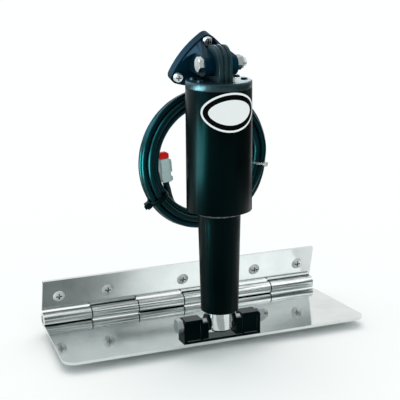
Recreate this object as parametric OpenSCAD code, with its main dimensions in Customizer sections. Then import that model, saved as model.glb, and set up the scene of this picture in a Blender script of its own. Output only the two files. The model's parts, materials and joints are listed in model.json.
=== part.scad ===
// Boat trim tab: a stainless blade on a knuckled transom hinge, moved by an electric ram.
// X runs along the hinge, +Y points forward to the transom and +Z up. The blade lies flat on z = 0.

/* [Hinge and transom leaf] */
// Length of the hinge
hinge_w = 304.8; // [290:0.1:320]
// Number of knuckles, shared in turn by the blade and the leaf
knuckles = 6; // [4:2:8]
// Thickness of the two stainless plates
plate_t = 2.7; // [2.5:0.1:3]
// Diameter of the hinge pin
hinge_pin_d = 8.5; // [8:0.1:9]
// Height of the hinge axis over the blade's underside
hinge_z = 8; // [7.9:0.1:8.2]
// Gap between neighbouring knuckles
knuckle_gap = 0.6; // [0.4:0.1:1]
// Height of the leaf over the hinge axis
leaf_h = 42; // [38:1:48]
// Radius of the leaf's upper corners
leaf_corner_r = 2; // [1:0.5:4]

/* [Leaf screws] */
// Distance of the inner pair of leaf screws from the middle one
leaf_screw_near = 83; // [60:1:100]
// Distance of the outer pair of leaf screws from the middle one
leaf_screw_far = 135; // [120:1:138]
// Height of the leaf's screws over the hinge axis
leaf_screw_h = 23; // [21:0.5:26]
// Diameter of the screws' heads
leaf_head_d = 12.4; // [11:0.1:13]
// Diameter of the screws' shanks
leaf_shank_d = 5.5; // [5:0.1:6]
// Reach of the screws behind the leaf
leaf_screw_reach = 26; // [20:1:32]

/* [Blade] */
// Distance from the hinge axis to the trailing edge
blade_chord = 110; // [100:1:125]
// Extra width of the trailing edge on each side
blade_flare = 9; // [4:0.5:12]
// Radius of the trailing corners
blade_corner_r = 12; // [6:1:16]
// Distance from the hinge axis to the plate's edge beside the leaf's knuckles
blade_back = 8.5; // [8.5:0.1:10]

/* [Lower bracket] */
// Half of the bracket's width
foot_half_w = 40.5; // [39:0.5:44]
// Distance from the trailing edge to the lower pivot
pivot_inset = 8.8; // [8.5:0.1:10]
// Distance from the trailing edge to the bracket's front
foot_inset = 0.8; // [0.4:0.1:1]
// Depth of the bracket, front to back
foot_depth = 16; // [15.5:0.1:18]
// Height of the lower pivot over the blade
pivot_rise = 17; // [16.5:0.1:19]
// Height of the bracket's towers over the pivot
tower_rise = 6.2; // [6:0.1:8]
// Half of the space between the towers
tower_half_gap = 21; // [20.5:0.1:22]
// Half of the space between the inner cheeks
cheek_half_gap = 14.5; // [14:0.1:16]
// Height of the inner cheeks over the pivot
cheek_rise = 2.2; // [1:0.1:2.4]
// Thickness of the bracket's floor under the ram
foot_floor = 2.4; // [2:0.1:2.8]
// Bevel of the towers' outer corners
tower_bevel = 2; // [1:0.5:3]
// Depth of the panels sunk in the towers' fronts
panel_depth = 1.6; // [1:0.1:2]
// Diameter of the screws that hold the bracket from below
foot_screw_d = 5; // [4:0.5:6]

/* [Pivot bolts] */
// Diameter of both pivot bolts
bolt_d = 8; // [7.8:0.1:8.4]
// Width of the bolt heads and nuts across their flats
bolt_flats = 12.8; // [12:0.1:13.2]
// Height of a bolt head
bolt_head_h = 5.3; // [5:0.1:6]
// Height of a lock nut
nut_h = 7.5; // [7:0.1:8.5]
// Length of thread that stands out of a nut
bolt_tail = 3; // [1:0.5:5]

/* [Ram and drive] */
// Distance between the two pivots with the ram drawn in
pin_to_pin = 254; // [250:1:262]
// Stroke of the ram
stroke = 57; // [50:1:57]
// Diameter of the ram
ram_d = 23; // [22:0.1:23.4]
// Length of ram below the lower pivot
ram_foot = 9; // [8.5:0.1:10]
// Bevel of the ram's end
ram_bevel = 2; // [1.5:0.1:2.5]
// Diameter of the lead screw
screw_d = 10; // [9:0.1:10.4]

/* [Actuator housing] */
// Diameter of the housing around the motor
housing_d = 63; // [62:0.1:64]
// Wall of the housing around the motor
housing_wall = 4; // [3.5:0.1:4.5]
// Height of the housing's lower edge over the lower pivot
step_z = 114.2; // [113:0.1:116]
// Fall of the housing's shoulder from that edge to the tube
step_fall = 4.4; // [3:0.1:6]
// Height of the housing's upper rim over the lower pivot
rim_z = 231.8; // [230:0.1:232]
// Height of the tapered tube's lower end over the lower pivot
tube_z = 11.6; // [11.2:0.1:13]
// Diameter of the tapered tube at its lower end
tube_low_d = 36.8; // [36:0.1:38]
// Diameter of the tapered tube under the step
tube_high_d = 41.4; // [40:0.1:42]
// Diameter of the tube's inner bore
tube_bore_d = 26.4; // [26:0.1:27]

/* [Top cap] */
// Thickness of the gasket under the cap
gasket_t = 0.6; // [0.4:0.1:1]
// Thickness of the cap's disc
cap_t = 6.4; // [6:0.1:7]
// Width of the eye along its pivot
eye_w = 13.5; // [13:0.1:15]
// Outer radius of the eye
eye_r = 17.5; // [17:0.5:18.5]
// Depth of the two grooves around the eye
eye_groove = 1.6; // [1:0.1:2]
// Distance of the cap's screws from the housing's outside
cap_screw_inset = 7.7; // [7.5:0.1:8]
// Angle of the cap's screws from the pivot's axis
cap_screw_angle = 22; // [20:1:30]
// Diameter of the cap's screws
cap_screw_d = 3.5; // [3:0.1:4]

/* [Oval plate] */
// Width of the oval plate, seen square on
oval_w = 52; // [44:1:54]
// Height of the oval plate
oval_h = 37; // [30:1:40]
// Thickness of the oval plate
oval_t = 0.3; // [0.2:0.1:0.6]
// Thickness of the glue under the oval plate
oval_glue = 0.1; // [0.1:0.05:0.3]

/* [Upper bracket] */
// Distance from the upper pivot to the transom
bracket_standoff = 41; // [40.5:0.5:44]
// Thickness of the bracket's flange
flange_t = 10; // [8:0.5:12]
// Height of the flange's upper screw over the pivot
flange_top = 10.5; // [10:0.5:14]
// Depth of the flange's lower screws under the pivot
flange_low = 24.5; // [23:0.5:26]
// Distance of the flange's lower screws from the middle
flange_side = 27; // [26:0.1:30]
// Width of the flange around its screws
flange_rim = 6.7; // [6:0.1:7.5]
// Radius of the flange's bowed sides, without the rim
flange_bow = 83; // [70:1:120]
// Radius of the round hollow beside each ear
hollow_r = 26; // [23:0.5:27]
// Thickness of each ear
ear_t = 9.5; // [9:0.5:11]
// Outer radius of the ears
ear_r = 9.5; // [9:0.1:10.5]
// Diameter of the flange screws' heads
flange_head_d = 10; // [9:0.5:11]
// Diameter of the flange screws' shanks
flange_shank_d = 5.5; // [5:0.1:6]
// Reach of the flange screws behind the bracket
flange_screw_reach = 5; // [4:0.5:6]

/* [Cable] */
// Diameter of the cable
cable_d = 6.6; // [6:0.1:7]
// Radius of the coil, to the middle of its bundle
coil_r = 61.5; // [61:0.1:63]
// Radius of the coil's bundle
bundle_r = 10; // [9.5:0.1:10.5]

/* [Clearances] */
// Radial clearance of a turning or sliding fit
running = 0.05; // [0.02:0.01:0.09]
// Radial clearance of a fastener in its hole
fastener_fit = 0.1; // [0.05:0.05:0.2]
// Side clearance between pieces that swing past each other
side_gap = 0.3; // [0.2:0.05:0.5]
// Space between the edge of a plate and the other plate's knuckles
edge_gap = 1; // [0.8:0.1:1.4]

/* [Hidden] */
$fn = 64;

// Colours of the finishes
steel = "#d6d9db";
zinc = "#b9bec2";
nylon = "#191b1c";
grey_nylon = "#8d9794";
bronze = "#b08d57";
rubber = "#101112";

// Overshoot of a cut past the face that it opens
over = 1;
// Depth by which shapes of one solid run into each other
fuse = 0.5;

// Hinge
pin_r = hinge_pin_d / 2;
barrel_bore_r = pin_r + running;
barrel_r = barrel_bore_r + plate_t;
knuckle_w = hinge_w / knuckles;
leaf_foot = barrel_r + edge_gap;
leaf_screw_x = [-leaf_screw_far, -leaf_screw_near, 0, leaf_screw_near, leaf_screw_far];
leaf_screw_tip = 5;
leaf_shank_r = leaf_shank_d / 2;
leaf_head_r = leaf_head_d / 2;
leaf_dome_h = 1.7;
leaf_recess = [6.4, 1.4, 1.6];
sink_past = 0.2;
pin_recess = 0.4;

// Lean of the transom at which the drawn-in ram lays the blade flat, with the leaf and the upper
// bracket both seated on the transom
pivot_z = plate_t + pivot_rise;
eye_aft = blade_chord - pivot_inset;
eye_rise = pivot_z + pin_to_pin - hinge_z;
leaf_lean = atan2(eye_aft, eye_rise) - asin((bracket_standoff - barrel_r) / norm([eye_aft, eye_rise]));

// The hinge's place along Y puts the middle of the part over the origin
screw_tip_y = (barrel_r + leaf_screw_reach) * cos(leaf_lean) - leaf_screw_h * sin(leaf_lean);
housing_front = eye_aft + housing_d / 2 + oval_glue + oval_t;
hinge_y = (housing_front - screw_tip_y) / 2;

// Lower pivot
pivot_y = hinge_y - eye_aft;
foot_front = pivot_inset - foot_inset;
foot_back = foot_depth - foot_front;
bolt_r = bolt_d / 2;
bolt_hole_r = bolt_r + fastener_fit;
spacer_r = 8.5;
foot_screw_edge = 4.5;
foot_screw_pitch = 11;
foot_screw_x = [foot_half_w - foot_screw_edge - foot_screw_pitch, foot_half_w - foot_screw_edge];
foot_screw_r = foot_screw_d / 2;
foot_screw_up = 9;
foot_screw_sink = 0.1;
foot_recess = [5, 1.2, 1.5];
tower_edge = 1.4;
cheek_inset = 1;
panel_in = 2.2;
panel_out = 3.4;
panel_low = 2.5;
panel_high = 3;
head_bevel = 1;
head_bevel_out = 2;
nut_collar = 2;
collar_inset = 0.4;

// Ram and drive
ram_r = ram_d / 2;
bush_wall = 2;
bush_r = bolt_r + running + bush_wall;
ram_bush_l = 17;
screw_r = screw_d / 2;
ram_bore_r = screw_r + 0.6;
ram_bore_floor = 14;
nut_l = 12;
nut_r = tube_bore_d / 2 - running;
stroke_spare = 11.4;
screw_low = 30;

// Housing
housing_r = housing_d / 2;
cavity_r = housing_r - housing_wall;
tube_bore_r = tube_bore_d / 2;
wiper_l = 4;
guide_l = 20;
wiper_r = ram_r + 2.6;
ram_top = tube_z + wiper_l + guide_l + stroke + stroke_spare;
tube_edge = 0.8;
cavity_floor = 4.4;
cavity_z = step_z + cavity_floor;
post_r = 4;
post_l = 30;
plate_l = 6;
bearing_l = 7;
bearing_r = 14;
gearbox_l = 22;
gearbox_r = 24;
motor_l = 70;
motor_r = 18.5;
motor_boss_r = 9;
gearbox_z = cavity_z + plate_l + bearing_l;
motor_z = gearbox_z + gearbox_l;
cap_z = rim_z + gasket_t;
cap_top = cap_z + cap_t;
cap_edge = 1;
cap_screw_l = 16;
cap_head_r = 3.4;
cap_head_h = 2.2;
cap_head_draft = 0.8;
cap_recess = [4, 0.9, 1.2];
gasket_inset = 0.4;
groove_x0 = 1.2;
groove_x1 = 3.6;
oval_drop = 0.6;
oval_z = rim_z - oval_h / 2 - oval_drop;

// Upper bracket
slot_half = eye_w / 2 + side_gap;
ear_out = slot_half + ear_t;
flange_front = bracket_standoff - flange_t;
ear_drop = 2;
slot_back = eye_r + 1;
dome_inset = 1;
dome_low = 18;
dome_span = flange_side + flange_rim;
head_pocket_r = 11;
head_scoop_r = 7;
flange_shank_r = flange_shank_d / 2;
flange_head_r = flange_head_d / 2;
flange_head_h = 3;
flange_head_draft = 1;
flange_recess = [5.6, 1.3, 1.5];
flange_screw_tip = 3;
flange_screws = [[0, flange_top], [-flange_side, -flange_low], [flange_side, -flange_low]];

// Cable, in the actuator's own frame: origin on the lower pivot, Z along the ram
cable_r = cable_d / 2;
coil_x = 5.2;
coil_y = 50;
coil_z = 152.5;
coil_turn = 6.5;
gland_z = 196;
gland_y = 49;
gland_seat_cut = 0.5;
gland_seat = housing_r - gland_seat_cut;
gland_flange_t = 4;
gland_nose = 16;
gland_plug_wall = 1.5;
gland_flange_wall = 4;
gland_ball_wall = 3.2;
gland_nose_wall = 2.6;
gland_tip_wall = 1.4;
gland_seat_room = 1;
gland_plug_r = cable_r + gland_plug_wall;
gland_flange_r = cable_r + gland_flange_wall;
gland_seat_r = gland_flange_r + gland_seat_room;
gland_ball_r = cable_r + gland_ball_wall;
gland_nose_r = cable_r + gland_nose_wall;
gland_tip_r = cable_r + gland_tip_wall;
lead_straight = 2;
lead_bend = 42;
lead_turn = 60;
lead_drift = 6.6;
lead_steps = 6;
lead_route = concat([[gland_nose, gland_y, gland_z]], [
    for (i = [0 : lead_steps]) let (t = i / lead_steps, a = t * lead_turn) [
        gland_nose + lead_straight + lead_bend * sin(a),
        gland_y + lead_drift * (3 - 2 * t) * t * t,
        gland_z - lead_bend * (1 - cos(a))
    ]
]);
connector_at = [-37.2, 45.8, 134];
connector_tilt = 5;
connector_axis = [-sin(connector_tilt), 0, cos(connector_tilt)];
tail_straight = 2.5;
tail_route = [
    [20.7, 51.8, 98], [15.2, 51.1, 97], [9.6, 50.5, 97.2], [4.1, 49.9, 98.2], [-1.2, 49.3, 100],
    [-6.3, 48.7, 102.4], [-11, 48.2, 105.4], [-15.4, 47.7, 108.9], [-19.4, 47.4, 112.9],
    [-23.4, 47.2, 116.9], [-27.6, 47, 120.5], [-32, 46.9, 124.1], [-35.2, 46.4, 128.5],
    connector_at - tail_straight * connector_axis, connector_at - fastener_fit * connector_axis
];
cable_sides = 10;
connector_w = 9;
connector_d = 9;
connector_h = 24;
wedge_h = 5.5;
wedge_inset = 0.5;
latch = [2.5, 5, 15];
latch_z = 5;
tie_t = 1;
tie_w = 4.8;
tie_head = [5, 6.8, 6];
tie_head_sink = 0.7;
black_tie_at = 212.5;
clear_tie_at = -12;

// Frames and shared shapes
module at_hinge() translate([0, hinge_y, hinge_z]) children();
module at_leaf() at_hinge() rotate([leaf_lean, 0, 0]) children();
module at_ram() translate([0, pivot_y, pivot_z]) children();
module at_eye() at_ram() translate([0, 0, pin_to_pin]) children();
module at_coil() at_ram() translate([coil_x, coil_y, coil_z]) rotate([90, 0, coil_turn]) children();
module both_sides() for (s = [0, 1]) mirror([s, 0, 0]) children();

// A cylinder along X from x0 to x1
module rod_x(r, x0, x1) translate([x0, 0, 0]) rotate([0, 90, 0]) cylinder(r = r, h = x1 - x0);

// A profile drawn in Y and Z, extruded along X from x0 to x1
module slab_x(x0, x1) translate([x0, 0, 0]) rotate([90, 0, 90]) linear_extrude(x1 - x0) children();

// A tube along Z
module ring_z(r_out, r_in, z0, z1) translate([0, 0, z0]) difference() {
    cylinder(r = r_out, h = z1 - z0);
    translate([0, 0, -over]) cylinder(r = r_in, h = z1 - z0 + 2 * over);
}

// A hexagon prism along X
module hex_x(flats, x0, x1) translate([x0, 0, 0]) rotate([0, 90, 0]) rotate([0, 0, 30])
    cylinder(d = flats / cos(30), h = x1 - x0, $fn = 6);

// The cross-shaped recess of a screw whose head faces -Z: size holds its span, width and depth
module cross_recess(size, top) for (a = [0, 90]) rotate([0, 0, a])
    translate([-size.x / 2, -size.y / 2, -top - over]) cube([size.x, size.y, size.z + over]);

// Span of knuckle i along X, with its share of the gaps
function knuckle_x0(i) = -hinge_w / 2 + i * knuckle_w + (i == 0 ? 0 : knuckle_gap / 2);
function knuckle_x1(i) = -hinge_w / 2 + (i + 1) * knuckle_w - (i == knuckles - 1 ? 0 : knuckle_gap / 2);

// The knuckles of one plate: first is 0 for the blade and 1 for the leaf
module barrel(first) for (i = [first : 2 : knuckles - 1]) rod_x(barrel_r, knuckle_x0(i), knuckle_x1(i));

// Transom leaf

module leaf_outline() {
    square_h = leaf_h - leaf_foot;
    translate([-hinge_w / 2, leaf_foot]) square([hinge_w, square_h - leaf_corner_r]);
    translate([-hinge_w / 2 + leaf_corner_r, leaf_foot]) square([hinge_w - 2 * leaf_corner_r, square_h]);
    for (s = [-1, 1]) translate([s * (hinge_w / 2 - leaf_corner_r), leaf_h - leaf_corner_r])
        circle(r = leaf_corner_r);
    for (i = [1 : 2 : knuckles - 1]) translate([knuckle_x0(i), 0])
        square([knuckle_x1(i) - knuckle_x0(i), leaf_foot + fuse]);
}

module transom_leaf() color(steel) at_leaf() difference() {
    union() {
        translate([0, barrel_r, 0]) rotate([90, 0, 0]) linear_extrude(plate_t) leaf_outline();
        barrel(1);
    }
    rod_x(barrel_bore_r, -hinge_w, hinge_w);
    for (x = leaf_screw_x) translate([x, barrel_r - plate_t, leaf_screw_h]) rotate([-90, 0, 0])
        leaf_screw_head(fastener_fit);
}

module hinge_pin() color(steel) at_hinge()
    rod_x(pin_r, -hinge_w / 2 + pin_recess, hinge_w / 2 - pin_recess);

// The countersunk part of a leaf screw's head, which runs a little past the sheet
module leaf_screw_head(extra)
    cylinder(r1 = leaf_head_r + extra, r2 = leaf_shank_r + extra, h = plate_t + sink_past);

// An oval-head screw along +Z, with the sheet's face at z = 0
module oval_screw() {
    dome_r = (leaf_head_r * leaf_head_r + leaf_dome_h * leaf_dome_h) / (2 * leaf_dome_h);
    reach = plate_t + leaf_screw_reach;
    difference() {
        union() {
            intersection() {
                translate([0, 0, dome_r - leaf_dome_h]) sphere(r = dome_r);
                translate([0, 0, -leaf_dome_h]) cylinder(r = leaf_head_r, h = leaf_dome_h);
            }
            leaf_screw_head(0);
            cylinder(r = leaf_shank_r, h = reach - leaf_screw_tip);
            translate([0, 0, reach - leaf_screw_tip])
                cylinder(r1 = leaf_shank_r, r2 = 0, h = leaf_screw_tip);
        }
        cross_recess(leaf_recess, leaf_dome_h);
    }
}

module leaf_screws() color(steel) at_leaf() for (x = leaf_screw_x)
    translate([x, barrel_r - plate_t, leaf_screw_h]) rotate([-90, 0, 0]) oval_screw();

// Blade

// Outline of the blade: straight sides that flare aft, and rounded trailing corners
module blade_outline() {
    near_w = hinge_w / 2;
    far_w = near_w + blade_flare;
    slope = atan(blade_flare / (blade_chord - blade_back));
    tangent = blade_corner_r / tan((90 - slope) / 2);
    side = [far_w - tangent * sin(slope), -blade_chord + tangent * cos(slope)];
    front = [far_w - tangent, -blade_chord];
    both_sides() {
        polygon([[0, -blade_back], [near_w, -blade_back], side, front, [0, -blade_chord]]);
        translate([front.x, -blade_chord + blade_corner_r]) circle(r = blade_corner_r);
    }
}

// Side profile of the tongue that carries a knuckle of the blade, seen from the hinge axis
module tongue_profile() polygon([
    [-blade_back - fuse, -hinge_z], [-barrel_r / 2, -hinge_z], [0, -barrel_r],
    [0, plate_t - hinge_z], [-blade_back - fuse, plate_t - hinge_z]
]);

module blade() color(steel) difference() {
    union() {
        translate([0, hinge_y, 0]) linear_extrude(plate_t) blade_outline();
        at_hinge() {
            barrel(0);
            for (i = [0 : 2 : knuckles - 1]) slab_x(knuckle_x0(i), knuckle_x1(i)) tongue_profile();
        }
    }
    at_hinge() rod_x(barrel_bore_r, -hinge_w, hinge_w);
    foot_screw_places() {
        translate([0, 0, -over]) cylinder(r = foot_screw_r + fastener_fit, h = plate_t + 2 * over);
        foot_screw_head(fastener_fit);
    }
}

// Lower bracket, held by four flush screws from below

module foot_screw_places() for (x = foot_screw_x, s = [-1, 1]) translate([s * x, pivot_y, 0]) children();

module foot_screw_head(extra)
    cylinder(r1 = foot_screw_d + extra, r2 = foot_screw_r + extra, h = foot_screw_r);

module foot_screw() difference() {
    union() {
        foot_screw_head(0);
        cylinder(r = foot_screw_r, h = plate_t + foot_screw_up);
    }
    cross_recess(foot_recess, 0);
}

module lower_bracket_screws() color(zinc) foot_screw_places()
    translate([0, 0, foot_screw_sink]) foot_screw();

// Front view of one tower: an upright block with a bevelled outer corner
module tower_front() polygon([
    [tower_half_gap, -pivot_rise], [foot_half_w, -pivot_rise], [foot_half_w, tower_rise - tower_bevel],
    [foot_half_w - tower_bevel, tower_rise], [tower_half_gap, tower_rise]
]);

module tower() {
    panel_x = tower_half_gap + panel_in;
    panel_w = foot_half_w - panel_out - panel_x;
    panel_h = pivot_rise + tower_rise - panel_low - panel_high;
    difference() {
        translate([0, foot_back, 0]) rotate([90, 0, 0]) linear_extrude(foot_depth) tower_front();
        // Bevelled upper edges, front and back
        for (y = [-foot_front, foot_back]) translate([0, y, tower_rise]) rotate([45, 0, 0])
            translate([0, -tower_edge / 2, -tower_edge / 2]) cube([2 * foot_half_w, tower_edge, tower_edge]);
        // Panels sunk in front and behind
        for (y = [-foot_front - over, foot_back - panel_depth])
            translate([panel_x, y, panel_low - pivot_rise]) cube([panel_w, panel_depth + over, panel_h]);
    }
    // Inner cheek beside the ram
    cheek_w = tower_half_gap - cheek_half_gap + fuse;
    translate([cheek_half_gap, cheek_inset - foot_front, -pivot_rise])
        cube([cheek_w, foot_depth - 2 * cheek_inset, pivot_rise + cheek_rise]);
}

module lower_bracket() color(nylon) difference() {
    at_ram() {
        both_sides() tower();
        translate([-foot_half_w, -foot_front, -pivot_rise]) cube([2 * foot_half_w, foot_depth, foot_floor]);
    }
    at_ram() rod_x(bolt_hole_r, -foot_half_w - over, foot_half_w + over);
    foot_screw_places() cylinder(r = foot_screw_r + fastener_fit, h = plate_t + foot_screw_up + over);
}

// A hexagon bolt along X from its head's inner face at x0 to its thread's end at x1
module pivot_bolt(x0, x1) {
    rod_x(bolt_r, x0 - fuse, x1);
    intersection() {
        hex_x(bolt_flats, x0 - bolt_head_h, x0);
        // Bevel around the outer face of the head
        translate([x0 - bolt_head_h, 0, 0]) rotate([0, 90, 0])
            cylinder(r1 = bolt_flats / 2, r2 = bolt_flats / 2 + head_bevel_out * bolt_head_h / head_bevel,
                h = bolt_head_h);
    }
}

// A lock nut along X, with its collar outwards
module lock_nut(x0) difference() {
    union() {
        hex_x(bolt_flats, x0, x0 + nut_h - nut_collar);
        rod_x(bolt_flats / 2 - collar_inset, x0, x0 + nut_h);
    }
    rod_x(bolt_hole_r, x0 - over, x0 + nut_h + over);
}

module lower_bolt() color(steel) at_ram() pivot_bolt(-foot_half_w, foot_half_w + nut_h + bolt_tail);

module lower_nut() color(steel) at_ram() lock_nut(foot_half_w);

module lower_spacers() color(nylon) at_ram() both_sides() difference() {
    rod_x(spacer_r, ram_r + side_gap, cheek_half_gap);
    rod_x(bolt_hole_r, 0, cheek_half_gap + over);
}

// Ram and drive

module ram_rod() color(steel) at_ram() difference() {
    rotate_extrude() polygon([
        [0, -ram_foot], [ram_r - ram_bevel, -ram_foot], [ram_r, -ram_foot + ram_bevel], [ram_r, ram_top],
        [ram_bore_r, ram_top], [ram_bore_r, ram_bore_floor], [0, ram_bore_floor]
    ]);
    rod_x(bush_r, -ram_d, ram_d);
}

module ram_bush() color(bronze) at_ram() difference() {
    rod_x(bush_r, -ram_bush_l / 2, ram_bush_l / 2);
    rod_x(bolt_r + running, -ram_d, ram_d);
}

module drive_nut() color(bronze) at_ram() ring_z(nut_r, screw_r + running, ram_top, ram_top + nut_l);

module lead_screw() color(steel) at_ram() translate([0, 0, screw_low])
    cylinder(r = screw_r, h = gearbox_z - screw_low - side_gap);

// Actuator housing: one moulding of the motor's barrel and the tapered tube below it

module housing_profile() difference() {
    polygon([
        [0, tube_z], [tube_low_d / 2 - tube_edge, tube_z], [tube_low_d / 2, tube_z + tube_edge],
        [tube_high_d / 2, step_z - step_fall], [housing_r, step_z], [housing_r, rim_z], [0, rim_z]
    ]);
    polygon([
        [-over, tube_z - over], [wiper_r, tube_z - over], [wiper_r, tube_z + wiper_l],
        [tube_bore_r, tube_z + wiper_l], [tube_bore_r, cavity_z], [cavity_r, cavity_z],
        [cavity_r, rim_z + over], [-over, rim_z + over]
    ]);
}

module cap_screw_places() for (side = [0, 180], s = [-1, 1])
    rotate([0, 0, side + s * cap_screw_angle]) translate([housing_r - cap_screw_inset, 0, 0]) children();

module actuator_housing() color(nylon) at_ram() difference() {
    union() {
        rotate_extrude() housing_profile();
        intersection() {
            cap_screw_places() translate([0, 0, rim_z - post_l]) cylinder(r = post_r, h = post_l);
            cylinder(r = cavity_r + fuse, h = rim_z);
        }
    }
    cap_screw_places() translate([0, 0, cap_top - cap_screw_l - over])
        cylinder(r = cap_screw_d / 2 + fastener_fit, h = cap_screw_l);
    // Flat seat and hole for the cable gland at the back
    translate([0, gland_seat, gland_z]) rotate([-90, 0, 0]) {
        cylinder(r = gland_seat_r, h = housing_r);
        translate([0, 0, -2 * housing_wall]) cylinder(r = gland_plug_r + fastener_fit, h = housing_r);
    }
}

module wiper_seal() color(rubber) at_ram() ring_z(wiper_r, ram_r + running, tube_z, tube_z + wiper_l);

module guide_bush() color(grey_nylon) at_ram()
    ring_z(tube_bore_r, ram_r + running, tube_z + wiper_l, tube_z + wiper_l + guide_l);

module bearing_plate() color(zinc) at_ram()
    ring_z(cavity_r, screw_r + running, cavity_z, cavity_z + plate_l);

module thrust_bearing() color(steel) at_ram()
    ring_z(bearing_r, screw_r + running, cavity_z + plate_l, gearbox_z);

module gearbox() color(zinc) at_ram() translate([0, 0, gearbox_z]) cylinder(r = gearbox_r, h = gearbox_l);

module motor() color(zinc) at_ram() {
    translate([0, 0, motor_z]) cylinder(r = motor_r, h = motor_l);
    translate([0, 0, motor_z + motor_l - fuse])
        cylinder(r = motor_boss_r, h = cap_z - motor_z - motor_l + fuse);
}

// Top cap with the grooved eye

module cap_gasket() color(rubber) at_ram() ring_z(housing_r - gasket_inset, cavity_r, rim_z, cap_z);

module eye_outline() {
    circle(r = eye_r);
    translate([-eye_r, cap_top - pin_to_pin - fuse]) square([2 * eye_r, pin_to_pin - cap_top + fuse]);
}

module eye_inner_outline() {
    inner_r = eye_r - eye_groove;
    circle(r = inner_r);
    translate([-inner_r, cap_top - pin_to_pin]) square([2 * inner_r, pin_to_pin - cap_top]);
}

module top_cap() color(nylon) difference() {
    union() {
        at_ram() rotate_extrude() polygon([
            [0, cap_z], [housing_r, cap_z], [housing_r, cap_top - cap_edge], [housing_r - cap_edge, cap_top],
            [0, cap_top]
        ]);
        at_eye() slab_x(-eye_w / 2, eye_w / 2) eye_outline();
    }
    at_eye() both_sides() slab_x(groove_x0, groove_x1) difference() {
        translate([-eye_r - over, cap_top - pin_to_pin]) square([2 * eye_r + 2 * over, 2 * eye_r + over]);
        eye_inner_outline();
    }
    at_eye() rod_x(bush_r, -eye_w, eye_w);
    at_ram() cap_screw_places() translate([0, 0, cap_z - over])
        cylinder(r = cap_screw_d / 2 + fastener_fit, h = cap_t + 2 * over);
}

module cap_screws() color(steel) at_ram() cap_screw_places() translate([0, 0, cap_top]) difference() {
    union() {
        translate([0, 0, -cap_screw_l]) cylinder(d = cap_screw_d, h = cap_screw_l);
        cylinder(r1 = cap_head_r, r2 = cap_head_r - cap_head_draft, h = cap_head_h);
    }
    rotate([180, 0, 0]) cross_recess(cap_recess, cap_head_h);
}

module eye_bush() color(bronze) at_eye() difference() {
    rod_x(bush_r, -eye_w / 2, eye_w / 2);
    rod_x(bolt_r + running, -eye_w, eye_w);
}

// The plain oval plate that wraps around the front of the housing
module oval_plate() color("white") at_ram() intersection() {
    ring_z(housing_r + oval_glue + oval_t, housing_r + oval_glue, oval_z - oval_h, oval_z + oval_h);
    translate([0, 0, oval_z]) rotate([90, 0, 0]) scale([oval_w / oval_h, 1, 1])
        cylinder(d = oval_h, h = housing_d);
}

// Cable, its coil, ties and connector

// An elbow that turns the cable into the plane of its coil
module cable_gland() color(rubber) at_ram() translate([0, 0, gland_z]) {
    translate([0, gland_seat, 0]) rotate([-90, 0, 0]) {
        translate([0, 0, -housing_wall]) cylinder(r = gland_plug_r, h = housing_wall + fuse);
        cylinder(r = gland_flange_r, h = gland_flange_t);
        cylinder(r = gland_nose_r, h = gland_y - gland_seat);
    }
    translate([0, gland_y, 0]) {
        sphere(r = gland_ball_r);
        rotate([0, 90, 0]) cylinder(r1 = gland_nose_r, r2 = gland_tip_r, h = gland_nose);
    }
}

function unit(v) = v / norm(v);
function heading(p, i) = unit(p[min(i + 1, len(p) - 1)] - p[max(i - 1, 0)]);
function ring_point(p, i, a) = let (
    t = heading(p, i),
    u = unit(cross(t, [0, 1, 0])),
    v = cross(u, t)
) p[i] + cable_r * (cos(a) * u + sin(a) * v);

// A round cable swept along a route that never runs along Y
module cable(route) {
    rings = len(route);
    n = cable_sides;
    points = [for (i = [0 : rings - 1], k = [0 : n - 1]) ring_point(route, i, k * 360 / n)];
    corners = [for (i = [0 : rings - 2], k = [0 : n - 1]) [i * n + k, i * n + (k + 1) % n]];
    sides = [for (c = corners, half = [0, 1])
        half == 0 ? [c[0], c[0] + n, c[1] + n] : [c[0], c[1] + n, c[1]]];
    first = [for (k = [0 : n - 1]) k];
    last = [for (k = [n - 1 : -1 : 0]) (rings - 1) * n + k];
    polyhedron(points, concat(sides, [first, last]));
}

module cable_lead() color(rubber) at_ram() cable(lead_route);

module cable_coil() color(rubber) at_coil() rotate_extrude() translate([coil_r, 0]) circle(r = bundle_r);

// A tie around the bundle at an angle on the coil
module tie(angle) at_coil() rotate([0, 0, angle]) translate([coil_r, 0, 0]) {
    rotate([90, 0, 0]) translate([0, 0, -tie_w / 2]) difference() {
        cylinder(r = bundle_r + tie_t, h = tie_w);
        translate([0, 0, -over]) cylinder(r = bundle_r + fastener_fit, h = tie_w + 2 * over);
    }
    translate([bundle_r + tie_t - tie_head_sink, -tie_head.y / 2, -tie_head.z / 2]) cube(tie_head);
}

module black_tie() color(rubber) tie(black_tie_at);

module clear_tie() color("#d9dedb") tie(clear_tie_at);

module cable_tail() color(rubber) at_ram() cable(tail_route);

module at_connector() at_ram() translate(connector_at) rotate([0, -connector_tilt, 0]) children();

module connector_body() color(grey_nylon) at_connector() {
    translate([-connector_w / 2, -connector_d / 2, 0]) cube([connector_w, connector_d, connector_h]);
    // Latch along the side
    translate([connector_w / 2 - fuse, -latch.y / 2, latch_z]) cube(latch);
}

module connector_wedge() color("#d3201c") at_connector()
    translate([wedge_inset - connector_w / 2, wedge_inset - connector_d / 2, connector_h])
        cube([connector_w - 2 * wedge_inset, connector_d - 2 * wedge_inset, wedge_h]);

// Upper bracket: a three-screw flange on the transom, domed forward to two ears around the eye

module at_bracket() at_eye() rotate([leaf_lean, 0, 0]) children();

// The middle of an arc from p to q with the radius r that bulges to the right of that way
function bow_middle(p, q, r) =
    (p + q) / 2 + sqrt(r * r / ((q - p) * (q - p)) - 1 / 4) * [p.y - q.y, q.x - p.x];

// A triangle with bowed sides and round corners, with a screw at each corner
module flange_outline(rim) offset(r = rim, $fn = 64) intersection_for(i = [0:2])
    translate(bow_middle(flange_screws[i], flange_screws[(i + 1) % 3], flange_bow))
        circle(r = flange_bow, $fn = 180);

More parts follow.
